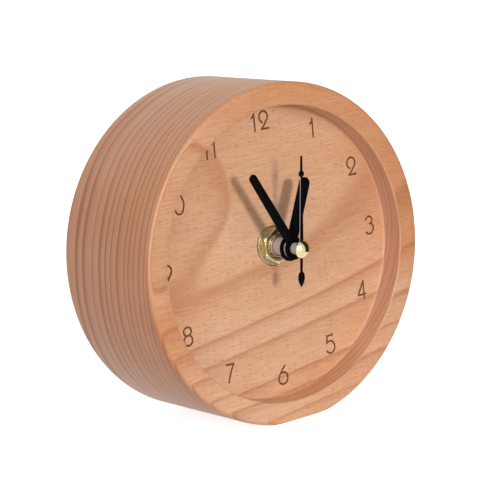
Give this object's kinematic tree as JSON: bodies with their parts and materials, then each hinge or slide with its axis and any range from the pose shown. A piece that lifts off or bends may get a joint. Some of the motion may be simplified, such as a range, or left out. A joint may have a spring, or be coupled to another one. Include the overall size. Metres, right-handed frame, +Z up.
{
  "type": "desk clock",
  "caption": "Round turned-wood desk clock on a narrow flat, with a sunk engraved dial, hour, minute and second hands, and a battery quartz movement in a rear pocket.",
  "frame": {"origin": "centre of the flat that the clock stands on, midway between the front rim and the back face", "axes": "+Z up, -Y out of the dial towards the reader, +X to the right as the dial is read; the shafts run along Y"},
  "size_m": [0.115, 0.0562, 0.1138],
  "materials": {
    "beech": "turned and finely sanded beech, clear matt oil, long grain along X",
    "brass": "polished and lacquered turned brass",
    "rubber": "matt moulded rubber",
    "grey_tube": "pale grey moulded acetal",
    "black_shell": "black moulded ABS with a fine spark-eroded texture",
    "middle_plate": "black moulded plastic",
    "hand_black": "stamped aluminium, satin black paint",
    "wheel_plastic": "natural acetal",
    "steel": "drawn steel wire",
    "spring_steel": "nickelled spring strip",
    "magnet": "sintered ferrite",
    "stator_iron": "annealed soft iron",
    "bobbin": "moulded nylon",
    "copper": "enamelled copper wire",
    "board": "phenolic paper board",
    "epoxy": "cured black epoxy",
    "crystal_can": "tinned drawn can",
    "battery_jacket": "plain shrunk film jacket with steel ends",
    "knob_black": "black moulded ABS, fluted"
  },
  "bodies": {
    "clock_case": {"wooden_case": "beech", "dial_washer": "brass", "hex_nut": "brass", "threaded_bushing": "brass", "rubber_gasket": "rubber", "movement_front_shell": "black_shell", "middle_plate": "middle_plate", "movement_back_cover": "black_shell", "aa_battery": "battery_jacket", "positive_contact": "spring_steel", "negative_contact": "spring_steel", "stator_plate": "stator_iron", "coil_core": "stator_iron", "coil_bobbin": "bobbin", "coil_winding": "copper", "circuit_board": "board", "clock_chip": "epoxy", "quartz_crystal": "crystal_can"},
    "second_hand_group": {"second_hand": "hand_black", "second_hand_cap": "brass", "seconds_arbor": "steel", "seconds_wheel": "wheel_plastic"},
    "rotor": {"rotor_pinion": "wheel_plastic", "rotor_magnet": "magnet"},
    "intermediate": {"intermediate_wheel": "wheel_plastic"},
    "third": {"third_wheel": "wheel_plastic"},
    "centre": {"centre_wheel": "wheel_plastic"},
    "minute_hand_group": {"minute_hand": "hand_black", "minute_arbor": "grey_tube", "clutch_spring": "spring_steel"},
    "motion": {"motion_wheel": "wheel_plastic"},
    "hour_hand_group": {"hour_hand": "hand_black", "hour_wheel": "grey_tube"},
    "setting": {"setting_arbor": "wheel_plastic", "setting_knob": "knob_black"}
  },
  "joints": [
    {"name": "second_hand_turn", "type": "hinge", "parent": "clock_case", "child": "second_hand_group", "pos_m": [0, 0, 0.0588], "axis": [0, 1, 0], "continuous": true},
    {"name": "minute_hand_turn", "type": "hinge", "parent": "clock_case", "child": "minute_hand_group", "pos_m": [0, 0, 0.0588], "axis": [0, 1, 0], "continuous": true},
    {"name": "hour_hand_turn", "type": "hinge", "parent": "clock_case", "child": "hour_hand_group", "pos_m": [0, 0, 0.0588], "axis": [0, 1, 0], "continuous": true},
    {"name": "setting_knob_turn", "type": "hinge", "parent": "clock_case", "child": "setting", "pos_m": [-0.01822, 0, 0.06208], "axis": [0, 1, 0], "continuous": true},
    {"name": "motion_wheel_turn", "type": "hinge", "parent": "clock_case", "child": "motion", "pos_m": [-0.00902, 0, 0.06208], "axis": [0, 1, 0], "continuous": true},
    {"name": "centre_wheel_turn", "type": "hinge", "parent": "clock_case", "child": "centre", "pos_m": [0, 0, 0.0588], "axis": [0, 1, 0], "continuous": true},
    {"name": "third_wheel_turn", "type": "hinge", "parent": "clock_case", "child": "third", "pos_m": [-0.00721, 0, 0.06601], "axis": [0, 1, 0], "continuous": true},
    {"name": "intermediate_wheel_turn", "type": "hinge", "parent": "clock_case", "child": "intermediate", "pos_m": [0.00947, 0, 0.06225], "axis": [0, 1, 0], "continuous": true},
    {"name": "rotor_turn", "type": "hinge", "parent": "clock_case", "child": "rotor", "pos_m": [0.01463, 0, 0.06586], "axis": [0, 1, 0], "continuous": true}
  ],
  "couplings": [
    {"joint": "hour_hand_turn", "follows": "minute_hand_turn", "ratio": 0.083333},
    {"joint": "motion_wheel_turn", "follows": "minute_hand_turn", "ratio": -0.33333},
    {"joint": "setting_knob_turn", "follows": "minute_hand_turn", "ratio": 1.2},
    {"joint": "third_wheel_turn", "follows": "second_hand_turn", "ratio": -0.13333},
    {"joint": "centre_wheel_turn", "follows": "second_hand_turn", "ratio": 0.016667},
    {"joint": "intermediate_wheel_turn", "follows": "second_hand_turn", "ratio": -5},
    {"joint": "rotor_turn", "follows": "second_hand_turn", "ratio": 30}
  ]
}
